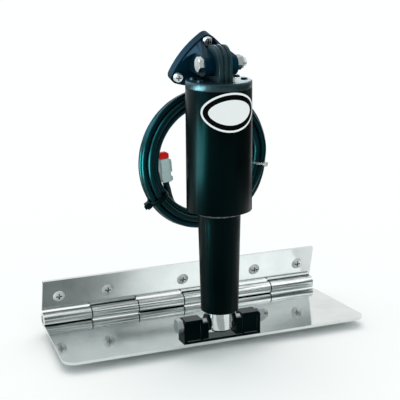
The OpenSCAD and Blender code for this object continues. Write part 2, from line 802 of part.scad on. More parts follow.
// One half of the dome: from the ear's nose back to a pad that fills its half of the flange
module half_dome() hull() {
    translate([0, 0, -ear_drop]) rod_x(ear_r, slot_half, ear_out, $fn = 48);
    translate([0, flange_front + fuse, 0]) rotate([90, 0, 0]) linear_extrude(fuse) intersection() {
        flange_outline(flange_rim - dome_inset);
        translate([slot_half, -dome_low]) square([dome_span, flange_top + flange_rim + dome_low]);
    }
}

// The hollow beside an ear: room for the bolt's end, and a round scoop that runs into the flange's face
module ear_hollow() {
    rod_x(head_pocket_r, ear_out, dome_span + over);
    translate([0, flange_front - hollow_r, -dome_low]) rod_x(hollow_r, ear_out, dome_span + over);
}

module upper_bracket() color(nylon) at_bracket() difference() {
    union() {
        translate([0, bracket_standoff, 0]) rotate([90, 0, 0]) linear_extrude(flange_t)
            flange_outline(flange_rim);
        both_sides() half_dome();
    }
    // Slot for the eye
    translate([-slot_half, -2 * eye_r, -2 * eye_r]) cube([2 * slot_half, 2 * eye_r + slot_back, 4 * eye_r]);
    rod_x(bolt_hole_r, -ear_out - over, ear_out + over);
    both_sides() ear_hollow();
    // Scoop over the upper screw's head, and the screw holes
    translate([0, flange_front, flange_top]) rotate([90, 0, 0]) cylinder(r = head_scoop_r, h = flange_front);
    for (p = flange_screws) translate([p.x, flange_front - over, p.y]) rotate([-90, 0, 0])
        cylinder(r = flange_shank_r + fastener_fit, h = flange_t + 2 * over);
}

module upper_bolt() color(steel) at_bracket() pivot_bolt(-ear_out, ear_out + nut_h + bolt_tail);

module upper_nut() color(steel) at_bracket() lock_nut(ear_out);

// A pan-head screw along +Z, with the face under its head at z = 0
module pan_screw() {
    reach = flange_t + flange_screw_reach;
    difference() {
        union() {
            translate([0, 0, -flange_head_h])
                cylinder(r1 = flange_head_r - flange_head_draft, r2 = flange_head_r, h = flange_head_h);
            cylinder(r = flange_shank_r, h = reach - flange_screw_tip);
            translate([0, 0, reach - flange_screw_tip])
                cylinder(r1 = flange_shank_r, r2 = 0, h = flange_screw_tip);
        }
        cross_recess(flange_recess, flange_head_h);
    }
}

module upper_bracket_screws() color(steel) at_bracket() for (p = flange_screws)
    translate([p.x, flange_front, p.y]) rotate([-90, 0, 0]) pan_screw();

transom_leaf();
hinge_pin();
leaf_screws();
blade();
lower_bracket();
lower_bracket_screws();
lower_bolt();
lower_nut();
lower_spacers();
ram_rod();
ram_bush();
drive_nut();
lead_screw();
actuator_housing();
wiper_seal();
guide_bush();
bearing_plate();
thrust_bearing();
gearbox();
motor();
cap_gasket();
top_cap();
cap_screws();
eye_bush();
oval_plate();
cable_gland();
cable_lead();
cable_coil();
black_tie();
clear_tie();
cable_tail();
connector_body();
connector_wedge();
upper_bracket();
upper_bolt();
upper_nut();
upper_bracket_screws();
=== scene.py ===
# %% [markdown]
# # A boat trim tab
# A trim tab is a polished plate hinged to a boat's transom. An electric ram between the plate and a
# bracket above it pushes the plate down to lift the stern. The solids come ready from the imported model;
# this lesson winds the lead into its coil, softens the edges, gives each piece its finish and lights
# the set.

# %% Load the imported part
import json
import math

import bmesh
import bpy
from mathutils import Matrix, Quaternion, Vector

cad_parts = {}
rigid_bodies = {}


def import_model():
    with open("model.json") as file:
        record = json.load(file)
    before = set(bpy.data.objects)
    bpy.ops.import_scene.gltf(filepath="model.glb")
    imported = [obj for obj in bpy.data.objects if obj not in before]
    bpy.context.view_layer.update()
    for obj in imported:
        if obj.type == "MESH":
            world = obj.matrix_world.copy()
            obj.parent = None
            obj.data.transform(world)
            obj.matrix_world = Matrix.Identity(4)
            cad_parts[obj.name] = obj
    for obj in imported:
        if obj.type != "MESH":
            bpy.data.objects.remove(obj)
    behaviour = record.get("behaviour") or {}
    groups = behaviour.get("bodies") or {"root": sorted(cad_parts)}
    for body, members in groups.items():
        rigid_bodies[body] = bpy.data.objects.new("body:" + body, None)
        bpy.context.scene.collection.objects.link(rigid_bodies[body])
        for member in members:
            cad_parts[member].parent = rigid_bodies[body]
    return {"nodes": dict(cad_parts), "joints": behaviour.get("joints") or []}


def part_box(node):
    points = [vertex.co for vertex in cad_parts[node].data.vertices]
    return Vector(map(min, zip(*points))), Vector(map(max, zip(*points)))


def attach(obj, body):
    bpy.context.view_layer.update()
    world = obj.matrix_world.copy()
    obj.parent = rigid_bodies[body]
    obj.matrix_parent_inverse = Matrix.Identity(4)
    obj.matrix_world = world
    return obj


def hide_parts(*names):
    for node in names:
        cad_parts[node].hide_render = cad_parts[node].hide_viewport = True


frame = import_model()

scene = bpy.context.scene
MM = 0.001
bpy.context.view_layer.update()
nodes = frame["nodes"]

# %% [markdown]
# ## Camera
# The photograph was taken from the left and a little above with a long lens, so the blade's edges run
# nearly parallel. A camera can be turned by Euler angles, but a direction and a roll are easier to
# check: it looks along the line given by azimuth and height, then rolls about it.

# %% Camera
CAMERA_AT = Vector((-434.2, -1068.3, 435.8)) * MM
AZIMUTH, HEIGHT, ROLL = math.radians(-22.10), math.radians(14.83), math.radians(-0.47)
FOCAL_MM, SENSOR_MM = 107.6, 36

level_part = math.cos(HEIGHT)
back = Vector((math.sin(AZIMUTH) * level_part, -math.cos(AZIMUTH) * level_part, math.sin(HEIGHT)))
camera = bpy.data.objects.new("camera", bpy.data.cameras.new("camera"))
camera.data.lens, camera.data.sensor_width = FOCAL_MM, SENSOR_MM
camera.rotation_mode = "QUATERNION"
camera.rotation_quaternion = Quaternion(back, ROLL) @ back.to_track_quat("Z", "Y")
camera.location = CAMERA_AT
scene.collection.objects.link(camera)
scene.camera = camera
print("camera", tuple(round(v, 3) for v in camera.location), "lens", FOCAL_MM)

# %% [markdown]
# ## The lead
# The motor's lead leaves an elbow gland behind the housing, winds five and a quarter times into a
# tied ring and ends in a connector inside the ring. It is one length of cable, so it is one open
# curve. Each turn lies a sixth of the way further round the bundle than the turn before, which packs
# six strands side by side with no crossing. One turn stands loose at the lower right, where the others
# are drawn in. The tail stays behind the ring and turns in to the connector below the black tie.
#
# Places are in millimetres from the lower pivot. A place on the ring is an angle, a distance from the
# ring's centre and a depth behind its middle plane.

# %% Measures of the lead
joint_at = {j["name"]: Vector(j["pos_m"]) for j in frame["joints"] if "pos_m" in j}
RAM = joint_at["lower_pivot"]
CABLE_R = 3.3
GLAND_TIP, INSIDE_GLAND = Vector((16, 49, 196)), Vector((4, 0, 0))
LEAD_STRAIGHT, LEAD_BEND, LEAD_TURN, LEAD_DRIFT, LEAD_STEPS = 2, 42, 60, 6.6, 6
COIL_AT, COIL_R, COIL_TURN = Vector((5.2, 50, 152.5)), 61.5, math.radians(6.5)
STRANDS, STRAND_R = 6, 6.6
JOIN, LEAVE, TURNS, COIL_STEPS = 24.4, 286, 5, 128
LOOSE_AT, LOOSE_MM = 3 * 360 + 62, 2.4
DRAWN_AT, DRAWN_MM = 322, 3.2
SWELL_REACH = 60
TAIL = [(275, 56.1, 4.4), (264, 56.2, 4.3), (253, 56.2, 4.2), (242, 56, 4.2),
        (232, 54.6, 4), (222, 51, 3), (213, 48.2, 1.6)]
CONNECTOR_AT, CONNECTOR_TILT = Vector((-37.2, 45.8, 134)), math.radians(5)
BELOW_PLUG, INSIDE_PLUG = 2.5, 1.5

UP = Vector((0, 0, 1))
along = Vector((math.cos(COIL_TURN), math.sin(COIL_TURN), 0))
through = Vector((-math.sin(COIL_TURN), math.cos(COIL_TURN), 0))
connector_up = Vector((-math.sin(CONNECTOR_TILT), 0, math.cos(CONNECTOR_TILT)))
print("ring of radius", COIL_R, "in mm, turned by degrees", round(math.degrees(COIL_TURN), 1))

# %% The route of the lead


def swell(value, middle):
    """A smooth hump: 1 at the middle, 0 beyond the reach."""
    near = max(0, 1 - abs(value - middle) / SWELL_REACH)
    return near * near * (3 - 2 * near)


def in_coil(angle, ring, depth):
    """A place on the ring."""
    turn = math.radians(angle)
    return COIL_AT + ring * (math.cos(turn) * along + math.sin(turn) * UP) + depth * through


def strand(wound):
    """The cable's middle after so many degrees of winding."""
    place = math.radians(180 + wound / STRANDS)
    loose = swell(wound, LOOSE_AT)
    drawn_in = swell((JOIN - wound) % 360, DRAWN_AT)
    ring = COIL_R + STRAND_R * math.cos(place) + LOOSE_MM * loose - DRAWN_MM * drawn_in * (1 - loose)
    return in_coil(JOIN - wound, ring, STRAND_R * math.sin(place))


lead = [GLAND_TIP - INSIDE_GLAND, GLAND_TIP]
for step in range(LEAD_STEPS):
    t = step / LEAD_STEPS
    bend = math.radians(LEAD_TURN * t)
    lead.append(GLAND_TIP + Vector((LEAD_STRAIGHT + LEAD_BEND * math.sin(bend),
                                    LEAD_DRIFT * (3 - 2 * t) * t * t, -LEAD_BEND * (1 - math.cos(bend)))))
total = JOIN - (LEAVE - 360) + 360 * TURNS
coil = [strand(total * i / COIL_STEPS) for i in range(COIL_STEPS)]
tail = [in_coil(*place) for place in TAIL]
tail += [CONNECTOR_AT - BELOW_PLUG * connector_up, CONNECTOR_AT + INSIDE_PLUG * connector_up]
route = [RAM + p * MM for p in lead + coil + tail]

# %% The lead as a curve
# The radius sits on the points and the bevel is 1, so that the curve's box is the cable's own box.
curve = bpy.data.curves.new("lead", "CURVE")
curve.dimensions = "3D"
curve.bevel_depth, curve.bevel_resolution, curve.resolution_u = 1, 4, 4
curve.use_fill_caps = True
spline = curve.splines.new("BEZIER")
spline.bezier_points.add(len(route) - 1)
for point, place in zip(spline.bezier_points, route):
    point.co, point.radius = place, CABLE_R * MM
    point.handle_left_type = point.handle_right_type = "AUTO"
cable = bpy.data.objects.new("lead", curve)
scene.collection.objects.link(cable)
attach(cable, "actuator")
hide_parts("cable_lead", "cable_coil", "cable_tail")
print("lead as one open curve, diameter in mm", 2 * CABLE_R)

# %% [markdown]
# ## Cable ties
# A tie is a thin nylon strap that goes round the bundle and through a small ratchet head. A strap is
# a flat section turned about a line, which is what spin does; the head is a block with its edges
# broken, and a stub of the cut strap stands out of it. Both are made upright at the origin and then
# moved into place on the ring: the black one has its head outside the ring, and the natural one, a
# thinner strap, has it in front.

# %% Helpers for small mouldings
EDGE_STEPS = 2


def into_object(bm, name, place):
    """Put a mesh in its place, scale it from millimetres and make it an object."""
    bm.transform(place)
    bmesh.ops.recalc_face_normals(bm, faces=bm.faces)
    bm.transform(Matrix.Translation(RAM) @ Matrix.Scale(MM, 4))
    mesh = bpy.data.meshes.new(name)
    bm.to_mesh(mesh)
    bm.free()
    made = bpy.data.objects.new(name, mesh)
    scene.collection.objects.link(made)
    return made


def block(bm, size, middle, edge):
    """A box with rounded edges."""
    made = bmesh.ops.create_cube(bm, size=1)["verts"]
    bmesh.ops.scale(bm, vec=size, verts=made)
    bmesh.ops.translate(bm, vec=middle, verts=made)
    edges = list({e for v in made for e in v.link_edges})
    bmesh.ops.bevel(bm, geom=edges, offset=edge, affect="EDGES", segments=EDGE_STEPS, profile=0.5,
                    material=-1)


print("a block's edges are rounded in", EDGE_STEPS, "steps")

# %% Ties
BUNDLE_R, TIE_T, TIE_SLACK = 10, 1.0, 0.1
STRAP_SHOULDER, STRAP_CHAMFER, STRAP_STEPS = 0.7, 0.2, 48
HEAD_SUNK, HEAD_EDGE = 0.7, 0.7
STUB_OUT, STUB_SHARE, STUB_T, STUB_EDGE = 2.2, 0.9, 1.2, 0.3


def tie(name, angle, replaced, wide, head, head_turn):
    """A strap round the bundle at an angle of the ring, with its head turned about the strap."""
    bm = bmesh.new()
    inner = BUNDLE_R + TIE_SLACK
    outer, shoulder = inner + TIE_T, inner + STRAP_SHOULDER * TIE_T
    side, top = wide / 2, wide / 2 - STRAP_CHAMFER * wide
    section = [(inner, -side), (inner, side), (shoulder, side), (outer, top), (outer, -top),
               (shoulder, -side)]
    loop = [bm.verts.new((r, w, 0)) for r, w in section]
    edges = [bm.edges.new((p, q)) for p, q in zip(loop, loop[1:] + loop[:1])]
    bmesh.ops.spin(bm, geom=loop + edges, cent=(0, 0, 0), axis=(0, 1, 0), angle=math.tau,
                   steps=STRAP_STEPS, use_merge=True)
    block(bm, head, (outer + head.x / 2 - HEAD_SUNK, 0, 0), HEAD_EDGE)
    block(bm, (STUB_OUT, STUB_SHARE * wide, STUB_T), (outer + head.x, 0, STUB_T / 2), STUB_EDGE)
    bm.transform(Matrix.Rotation(math.radians(head_turn), 4, "Y"))
    turn = math.radians(angle)
    out = math.cos(turn) * along + math.sin(turn) * UP
    round_it = -math.sin(turn) * along + math.cos(turn) * UP
    place = Matrix((out, round_it, -through)).transposed().to_4x4()
    place.translation = in_coil(angle, COIL_R, 0)
    made = into_object(bm, name, place)
    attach(made, "actuator")
    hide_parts(replaced)
    return made


dark_tie = tie("dark_tie", 212.5, "black_tie", 4.8, Vector((5, 6.8, 6)), 0)
pale_tie = tie("pale_tie", -10, "clear_tie", 1.8, Vector((3.4, 4.8, 5)), -72)
print("ties", dark_tie.name, pale_tie.name)

# %% [markdown]
# ## Connector
# The lead ends in a two-way plug housing: a pale body with a ribbed grip, a latch down one side and a
# red wedge that locks the pins. Boxes with rounded edges, set side by side in one mesh, are enough.
# Each box has its size, its middle above the cable's entry and the round of its edges.

# %% Connector
RIBS, RIB_FIRST, RIB_PITCH = 3, 12.4, 2.6
BODY, COLLAR = ((8.8, 8.6, 23.6), (0, 0, 12), 0.5), ((9.6, 9.4, 9.6), (0, 0, 5.2), 0.5)
GRIP = [((9.1, 9.0, 1.3), (0, 0, RIB_FIRST + RIB_PITCH * rib), 0.4) for rib in range(RIBS)]
LATCH, LATCH_HOOK = ((1.8, 5, 12.5), (6.2, 0, 15.6), 0.5), ((2.4, 4, 1.8), (5.0, 0, 20.6), 0.4)
LATCH_FOOT = ((2.6, 5.4, 4.2), (5.6, 0, 2.8), 0.4)
WEDGE, WEDGE_LIP = ((9.8, 8, 4.6), (-0.4, 0, 26.6), 0.6), ((6.4, 6, 1.2), (-0.4, 0, 29.2), 0.4)
plug_place = Matrix.Translation(CONNECTOR_AT) @ Matrix.Rotation(-CONNECTOR_TILT, 4, "Y")

bm = bmesh.new()
for box in [BODY, COLLAR] + GRIP + [LATCH, LATCH_HOOK, LATCH_FOOT]:
    block(bm, *box)
plug = into_object(bm, "plug_body", plug_place)
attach(plug, "actuator")
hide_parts("connector_body")

bm = bmesh.new()
for box in (WEDGE, WEDGE_LIP):
    block(bm, *box)
wedge = into_object(bm, "plug_wedge", plug_place)
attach(wedge, "actuator")
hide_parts("connector_wedge")
print("connector pieces", plug.name, wedge.name)

# %% [markdown]
# ## Softened edges
# Moulded nylon and cold-headed steel have no knife edges, and the small round along an edge is what
# catches the light. Each edge could be rounded by hand in the solid, but modifiers do it for the whole
# piece and keep the solid as it is: weld the loose triangles, join those that lie in one plane, then
# round every edge that turns sharply.

# %% Softened edges
SOFTENED = {"upper_bracket": 0.7, "lower_bracket": 0.8, "top_cap": 0.8, "actuator_housing": 0.6,
            "upper_bolt": 0.35, "upper_nut": 0.35, "lower_bolt": 0.35, "lower_nut": 0.35}
WELD_MM, ONE_PLANE, SHARP, ROUND_STEPS = 0.002, math.radians(0.5), math.radians(32), 2
for name, radius in SOFTENED.items():
    piece = nodes[name]
    weld = piece.modifiers.new("weld", "WELD")
    weld.merge_threshold = WELD_MM * MM
    plane = piece.modifiers.new("plane_faces", "DECIMATE")
    plane.decimate_type, plane.angle_limit = "DISSOLVE", ONE_PLANE
    soft = piece.modifiers.new("soft_edges", "BEVEL")
    soft.width, soft.segments, soft.angle_limit = radius * MM, ROUND_STEPS, SHARP
    soft.limit_method, soft.harden_normals = "ANGLE", True
print("softened", ", ".join(SOFTENED))

# %% [markdown]
# ## Finishes
# Each finish starts from what it is on the boat. Colours are written as they look on a screen and
# turned to the linear values that the renderer mixes. Patterns read Object coordinates, which are
# metres here, so a pattern of so many millimetres has a scale of 1000 divided by that size.

# %% Colours, nodes and materials


def linear(code):
    """A colour as written on a screen, in the linear values that the renderer mixes."""
    parts = [int(code[i:i + 2], 16) / 255 for i in (1, 3, 5)]
    return [p / 12.92 if p <= 0.04045 else ((p + 0.055) / 1.055) ** 2.4 for p in parts] + [1]


def add(tree, kind, links=None, values=None, stops=(), **settings):
    """Add a node, set its options, sockets and colour stops, and link its inputs."""
    made = tree.nodes.new(kind)
    for key, value in settings.items():
        setattr(made, key, value)
    for key, value in (values or {}).items():
        made.inputs[key].default_value = value
    for key, source in (links or {}).items():
        tree.links.new(source, made.inputs[key])
    for i, (at, code) in enumerate(stops):
        ramp = made.color_ramp.elements
        stop = ramp[i] if i < len(ramp) else ramp.new(at)
        stop.position, stop.color = at, linear(code)
    return made


def finish(name, **values):
    """A material with its principled shader's own sockets set."""
    made = bpy.data.materials.new(name)
    made.use_nodes = True
    shader = made.node_tree.nodes["Principled BSDF"]
    for key, value in values.items():
        shader.inputs[key.replace("_", " ")].default_value = value
    return made, made.node_tree, shader


print("a mid grey on the screen is in linear values", [round(v, 3) for v in linear("#808080")[:3]])

# %% [markdown]
# ### A worn surface
# Most finishes share one shader: the colour and the roughness drift slowly over 28 mm, as on a handled
# surface, and a fine grain is raised on it. Real grain is finer than the picture can show, so it is
# drawn 0.4 to 2 mm wide, and it stands up only some thousandths of a millimetre. Crevices, such as a
# screw's recess, get painted shade: they are darkened where a point sees little of the space near it.

# %% A worn surface
# PAINTED_SHADE is the dark colour painted in as shade where little light reaches.
PAINTED_SHADE, HIDDEN, OPEN, SPACE_SAMPLES = "#0B1112", 0.4, 0.8, 6
DRIFT_MM, DRIFT_RANGE, TONE_STOPS = 28, (0.3, 0.7), (0.35, 0.68)
GRAIN_STRENGTH = 0.5


def drifting(tree, where, rough):
    """A slow drift over the surface, and the roughness that goes with it."""
    drift = add(tree, "ShaderNodeTexNoise", {"Vector": where}, {"Scale": 1000 / DRIFT_MM, "Detail": 3})
    level = add(tree, "ShaderNodeMapRange", {"Value": drift.outputs["Fac"]},
                {"From Min": DRIFT_RANGE[0], "From Max": DRIFT_RANGE[1],
                 "To Min": rough[0], "To Max": rough[1]})
    return drift.outputs["Fac"], level.outputs[0]


def shaded(tree, colour, reach_mm):
    """The colour with painted shade in its crevices."""
    space = add(tree, "ShaderNodeAmbientOcclusion", values={"Distance": reach_mm * MM}, samples=SPACE_SAMPLES)
    share = add(tree, "ShaderNodeMapRange", {"Value": space.outputs["AO"]},
                {"From Min": HIDDEN, "From Max": OPEN})
    mixed = add(tree, "ShaderNodeMix", {"Factor": share.outputs[0], 7: colour}, {6: linear(PAINTED_SHADE)},
                data_type="RGBA")
    return mixed.outputs[2]


def into_shader(tree, shader, colour, level, relief):
    """Link the finished colour, roughness and relief."""
    for socket, source in (("Base Color", colour), ("Roughness", level), ("Normal", relief)):
        tree.links.new(source, shader.inputs[socket])


def wear(name, colours, rough, grain_mm, bump_mm, stretch=(1, 1, 1), crevice_mm=0, **values):
    """A finish whose colour and roughness drift slowly, with fine raised grain and painted shade in crevices.
    """
    made, tree, shader = finish(name, **values)
    where = add(tree, "ShaderNodeTexCoord").outputs["Object"]
    drift, level = drifting(tree, where, rough)
    colour = add(tree, "ShaderNodeValToRGB", {"Fac": drift}, stops=zip(TONE_STOPS, colours)).outputs[0]
    placed = add(tree, "ShaderNodeMapping", {"Vector": where}, {"Scale": stretch}).outputs[0]
    grain = add(tree, "ShaderNodeTexNoise", {"Vector": placed}, {"Scale": 1000 / grain_mm, "Detail": 4})
    relief = add(tree, "ShaderNodeBump", {"Height": grain.outputs["Fac"]},
                 {"Strength": GRAIN_STRENGTH, "Distance": bump_mm * MM}).outputs[0]
    if crevice_mm:
        colour = shaded(tree, colour, crevice_mm)
    into_shader(tree, shader, colour, level, relief)
    return made


def wears(made, *names):
    """Put a finish on pieces."""
    for n in names:
        piece = nodes.get(n) or bpy.data.objects[n]
        piece.data.materials.clear()
        piece.data.materials.append(made)
    print(made.name, "on", ", ".join(names))


print("colour and roughness drift over", DRIFT_MM, "mm")

# %% [markdown]
# ### Hinge plates
# The blade and the leaf are stainless sheet. Their flats are polished, the blade to a mirror and the
# leaf a little softer, and the rolled barrels keep the lines of the rolling. One shader does both: it
# measures how far a point lies from the hinge's pin and changes over just outside the barrel. The
# lines are noise pulled out along the hinge, 1.6 mm apart round the barrel, which is coarser than real
# ones so that they show. They are raised as relief, and their colour, from grey to white, is a painted
# reflection of the streaks that a polished barrel mirrors. The slits between the knuckles get painted
# shade over half a millimetre at each side, and so do the crevices where a barrel meets its sheet,
# because light hardly gets into them.

# %% Hinge plates
BARREL_MM, BARREL_EDGE_MM, BARREL_ROUGH = 7.4, 1, 0.26
LINE_MM, LINE_PULL, LINE_STRENGTH, LINE_DEPTH_MM = 1.6, (0.02, 1, 1), 0.4, 0.002
# The barrel lines' colours, grey to white: a painted reflection of streaks along the barrel.
LINE_AND_REFLECTION_TONES = [(0.38, "#8FA29E"), (0.56, "#F3F5F5")]
KNUCKLE_MM, SEAM_MM, SEAM_FADE, LAST_SEAM = 50.8, 0.5, 1.4, 2.5
CREVICE_MM = 1.6


def plate_steel(name, colours, rough):
    """Polished flats, barrel lines coloured as a painted reflection, painted shade in the knuckles' slits."""
    made, tree, shader = finish(name, Metallic=1)
    where = add(tree, "ShaderNodeTexCoord").outputs["Object"]
    pin = joint_at["blade_hinge"]
    off = add(tree, "ShaderNodeVectorMath", {0: where}, {1: pin}, operation="SUBTRACT").outputs[0]
    off = add(tree, "ShaderNodeVectorMath", {0: off}, {1: (0, 1, 1)}, operation="MULTIPLY").outputs[0]
    off = add(tree, "ShaderNodeVectorMath", {0: off}, operation="LENGTH").outputs["Value"]
    flat = add(tree, "ShaderNodeMapRange", {"Value": off},
               {"From Min": BARREL_MM * MM, "From Max": (BARREL_MM + BARREL_EDGE_MM) * MM}).outputs[0]

    # Smooth flats that drift slowly, and barrels with raised lines whose colour is a painted reflection.
    drift, smooth = drifting(tree, where, rough)
    level = add(tree, "ShaderNodeMix", {"Factor": flat, 3: smooth}, {2: BARREL_ROUGH}).outputs[0]
    pulled = add(tree, "ShaderNodeMapping", {"Vector": where}, {"Scale": LINE_PULL}).outputs[0]
    lines = add(tree, "ShaderNodeTexNoise", {"Vector": pulled}, {"Scale": 1000 / LINE_MM, "Detail": 2})
    lines = lines.outputs["Fac"]
    relief = add(tree, "ShaderNodeBump", {"Height": lines},
                 {"Strength": LINE_STRENGTH, "Distance": LINE_DEPTH_MM * MM}).outputs[0]
    on_barrel = add(tree, "ShaderNodeValToRGB", {"Fac": lines}, stops=LINE_AND_REFLECTION_TONES).outputs[0]
    on_flat = add(tree, "ShaderNodeValToRGB", {"Fac": drift}, stops=zip(TONE_STOPS, colours)).outputs[0]
    colour = add(tree, "ShaderNodeMix", {"Factor": flat, 6: on_barrel, 7: on_flat},
                 data_type="RGBA").outputs[2]

    # Painted shade in the slits, on the barrels only and not at the hinge's two ends.
    side = add(tree, "ShaderNodeSeparateXYZ", {0: where}).outputs["X"]
    seam = add(tree, "ShaderNodeMath", {0: side}, {1: KNUCKLE_MM / 2 * MM}, operation="PINGPONG").outputs[0]
    seam = add(tree, "ShaderNodeMapRange", {"Value": seam},
               {"From Min": SEAM_MM * MM, "From Max": SEAM_FADE * SEAM_MM * MM}).outputs[0]
    side = add(tree, "ShaderNodeMath", {0: side}, operation="ABSOLUTE").outputs[0]
    end = add(tree, "ShaderNodeMath", {0: side}, {1: LAST_SEAM * KNUCKLE_MM * MM}, operation="GREATER_THAN")
    unshaded = add(tree, "ShaderNodeMath", {0: seam, 1: flat}, operation="MAXIMUM").outputs[0]
    unshaded = add(tree, "ShaderNodeMath", {0: unshaded, 1: end.outputs[0]}, operation="MAXIMUM").outputs[0]
    colour = add(tree, "ShaderNodeMix", {"Factor": unshaded, 7: colour}, {6: linear(PAINTED_SHADE)},
                 data_type="RGBA").outputs[2]
    into_shader(tree, shader, shaded(tree, colour, CREVICE_MM), level, relief)
    return made


# Mirror polish: the blade shows the room and the leaf almost sharply.
wears(plate_steel("mirror_polished_stainless", ("#D3D8D7", "#DDE2E1"), (0.07, 0.10)), "blade")
# Buffed: the leaf shows the same with soft borders.
wears(plate_steel("buffed_stainless", ("#D6DADA", "#E0E4E4"), (0.13, 0.16)), "transom_leaf")

# %% [markdown]
# ### Metals
# The pivot bolts and nuts are cold-headed stainless, some left bright and some drawn darker as painted
# shade. The flat-headed screws are passivated and have cross recesses, which get painted shade. The
# cap's screws are drawn dark as painted shade, and the ram is ground and chromed. The pieces inside are
# zinc plated, machined or sintered, as bought-in parts are.

# %% Metals
# Bright cold-headed stainless: a soft mirror of the room.
wears(wear("bright_stainless_fasteners", ("#C6CBCC", "#DDE1E1"), (0.24, 0.30), 0.8, 0.005, Metallic=1),
      "upper_bolt", "hinge_pin")
# Passivated stainless: a pale, even face, with painted shade in its recesses.
wears(wear("passivated_stainless_screws", ("#E2E6E6", "#F2F4F4"), (0.42, 0.5), 0.8, 0.005,
           crevice_mm=2.4, Metallic=1), "leaf_screws", "upper_bracket_screws")
# The same stainless drawn greyer, as painted shade: a darker copy of the bright fasteners.
wears(wear("stainless_fasteners_painted_darker", ("#8E9698", "#AEB5B6"), (0.26, 0.34), 0.8, 0.005, Metallic=1),
      "lower_bolt", "lower_nut", "upper_nut")
# Steel drawn dark as painted shade, for screws in the shade under the bracket, with a metal's gleam.
wears(wear("cap_screws_painted_dark", ("#1E282B", "#2C383B"), (0.26, 0.34), 0.8, 0.005, Metallic=1),
      "cap_screws")
# Ground and chromed steel: bright, with faint lines along the rod.
wears(wear("ground_chromed_rod", ("#D5D9DA", "#ECEFEF"), (0.10, 0.18), 0.7, 0.004, (1, 1, 0.1), Metallic=1),
      "ram_rod")
# Zinc plating: a cool, even grey.
wears(wear("zinc_plated_steel", ("#A9AEB2", "#C3C8CC"), (0.30, 0.42), 0.6, 0.01, Metallic=1),
      "lower_bracket_screws", "bearing_plate", "gearbox", "motor")
# Machined steel: darker, with a sharper shine.
wears(wear("machined_drive_steel", ("#8E9296", "#AEB2B6"), (0.24, 0.36), 0.5, 0.01, Metallic=1),
      "lead_screw", "thrust_bearing")
# Sintered bronze: warm and dull, with a coarse grain.
wears(wear("sintered_bronze", ("#9C7A45", "#B89460"), (0.34, 0.48), 0.4, 0.02, Metallic=1),
      "ram_bush", "drive_nut", "eye_bush")

# %% [markdown]
# ### Plastics and rubber
# The housing and the lower bracket are glass-filled nylon, moulded black. The tint of their sheen sits
# on the gloss alone, because the plastic itself is close to black. The cap is nylon too, the upper
# bracket a dark blue resin, and the lead's jacket is extruded. The ties and the plug are moulded in
# plain nylon.

# %% Plastics and rubber
SHEEN, CAP_SHEEN, BLUE_SHEEN = linear("#12C4C8"), linear("#A4DCE8"), linear("#1C8CC4")
# Glass-filled nylon with a satin skin: close to black, with a cool sheen.
wears(wear("black_glass_filled_nylon", ("#020405", "#040708"), (0.28, 0.34), 0.6, 0.006,
           Specular_IOR_Level=0.07, Specular_Tint=SHEEN),
      "actuator_housing", "lower_bracket", "lower_spacers")
# Dark blue resin: blue where it mirrors light, nearly black elsewhere.
wears(wear("blue_black_bracket_nylon", ("#031E2C", "#062B3B"), (0.26, 0.32), 0.6, 0.006,
           Specular_IOR_Level=0.08, Specular_Tint=BLUE_SHEEN), "upper_bracket")
# The cap's nylon: a stronger and broader shine.
wears(wear("black_nylon_cap", ("#06151A", "#0B1F25"), (0.34, 0.40), 0.6, 0.004,
           Specular_IOR_Level=0.65, Specular_Tint=CAP_SHEEN), "top_cap")
# Smooth extruded jacket: one long line of light on each strand.
wears(wear("black_cable_jacket", ("#03080D", "#07121B"), (0.26, 0.32), 2.0, 0.02,
           Specular_IOR_Level=0.4, Specular_Tint=SHEEN), "lead")
# Nitrile rubber: black and dull.
wears(wear("black_nitrile_rubber", ("#070909", "#101414"), (0.5, 0.65), 0.5, 0.02, Specular_IOR_Level=0.3),
      "wiper_seal", "cap_gasket", "cable_gland")
# Pale plug plastic: a cool light grey with a soft shine.
wears(wear("pale_grey_plug_plastic", ("#BCD8D8", "#CEE6E6"), (0.38, 0.5), 0.5, 0.01), "plug_body")
# Red plastic: its shine is weak, so the red stays full.
wears(wear("red_wedge_plastic", ("#F0120A", "#FF2416"), (0.32, 0.44), 0.5, 0.01, Specular_IOR_Level=0.15),
      "plug_wedge")
# Black tie nylon: nearly black, with a weak cool sheen.
wears(wear("black_tie_nylon", ("#030506", "#070A0B"), (0.34, 0.46), 0.5, 0.01,
           Specular_IOR_Level=0.12, Specular_Tint=SHEEN), "dark_tie")
# Natural nylon: milky, and light comes through it.
wears(wear("natural_nylon_tie", ("#CFD8D4", "#E6ECE8"), (0.2, 0.3), 0.5, 0.01, Transmission_Weight=0.75),
      "pale_tie")
# Bearing nylon: an even grey with a satin skin.
wears(wear("grey_bearing_nylon", ("#7C8583", "#929B98"), (0.42, 0.55), 0.5, 0.01), "guide_bush")

# %% [markdown]
# ### The oval plate
# A printed vinyl oval wraps round the housing's front: a white rim, a black ring and a white middle.
# The bands keep an even width as they go round, so the shader works out how far a point lies from
# the plate's outline. That is the fall from the outline, where the ellipse's value is 1, divided by the
# slope of that value along the curved wall; a stepped ramp turns the distance to colour.

# %% Oval plate
RIM_MM, RING_MM, RAMP_MM = 1.8, 6.6, 30
BANDS = [(0, "#F6F8F8"), (RIM_MM / RAMP_MM, "#030606"), (RING_MM / RAMP_MM, "#F4F6F6")]
VINYL_GRAIN_MM, VINYL_BUMP_MM, VINYL_STRENGTH = 0.7, 0.006, 0.3
low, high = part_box("oval_plate")
middle, half = (low + high) / 2, (high - low) / 2
wall = math.hypot(half.x, high.y - RAM.y)
per_half = (1 / half.x, 0, 1 / half.z)
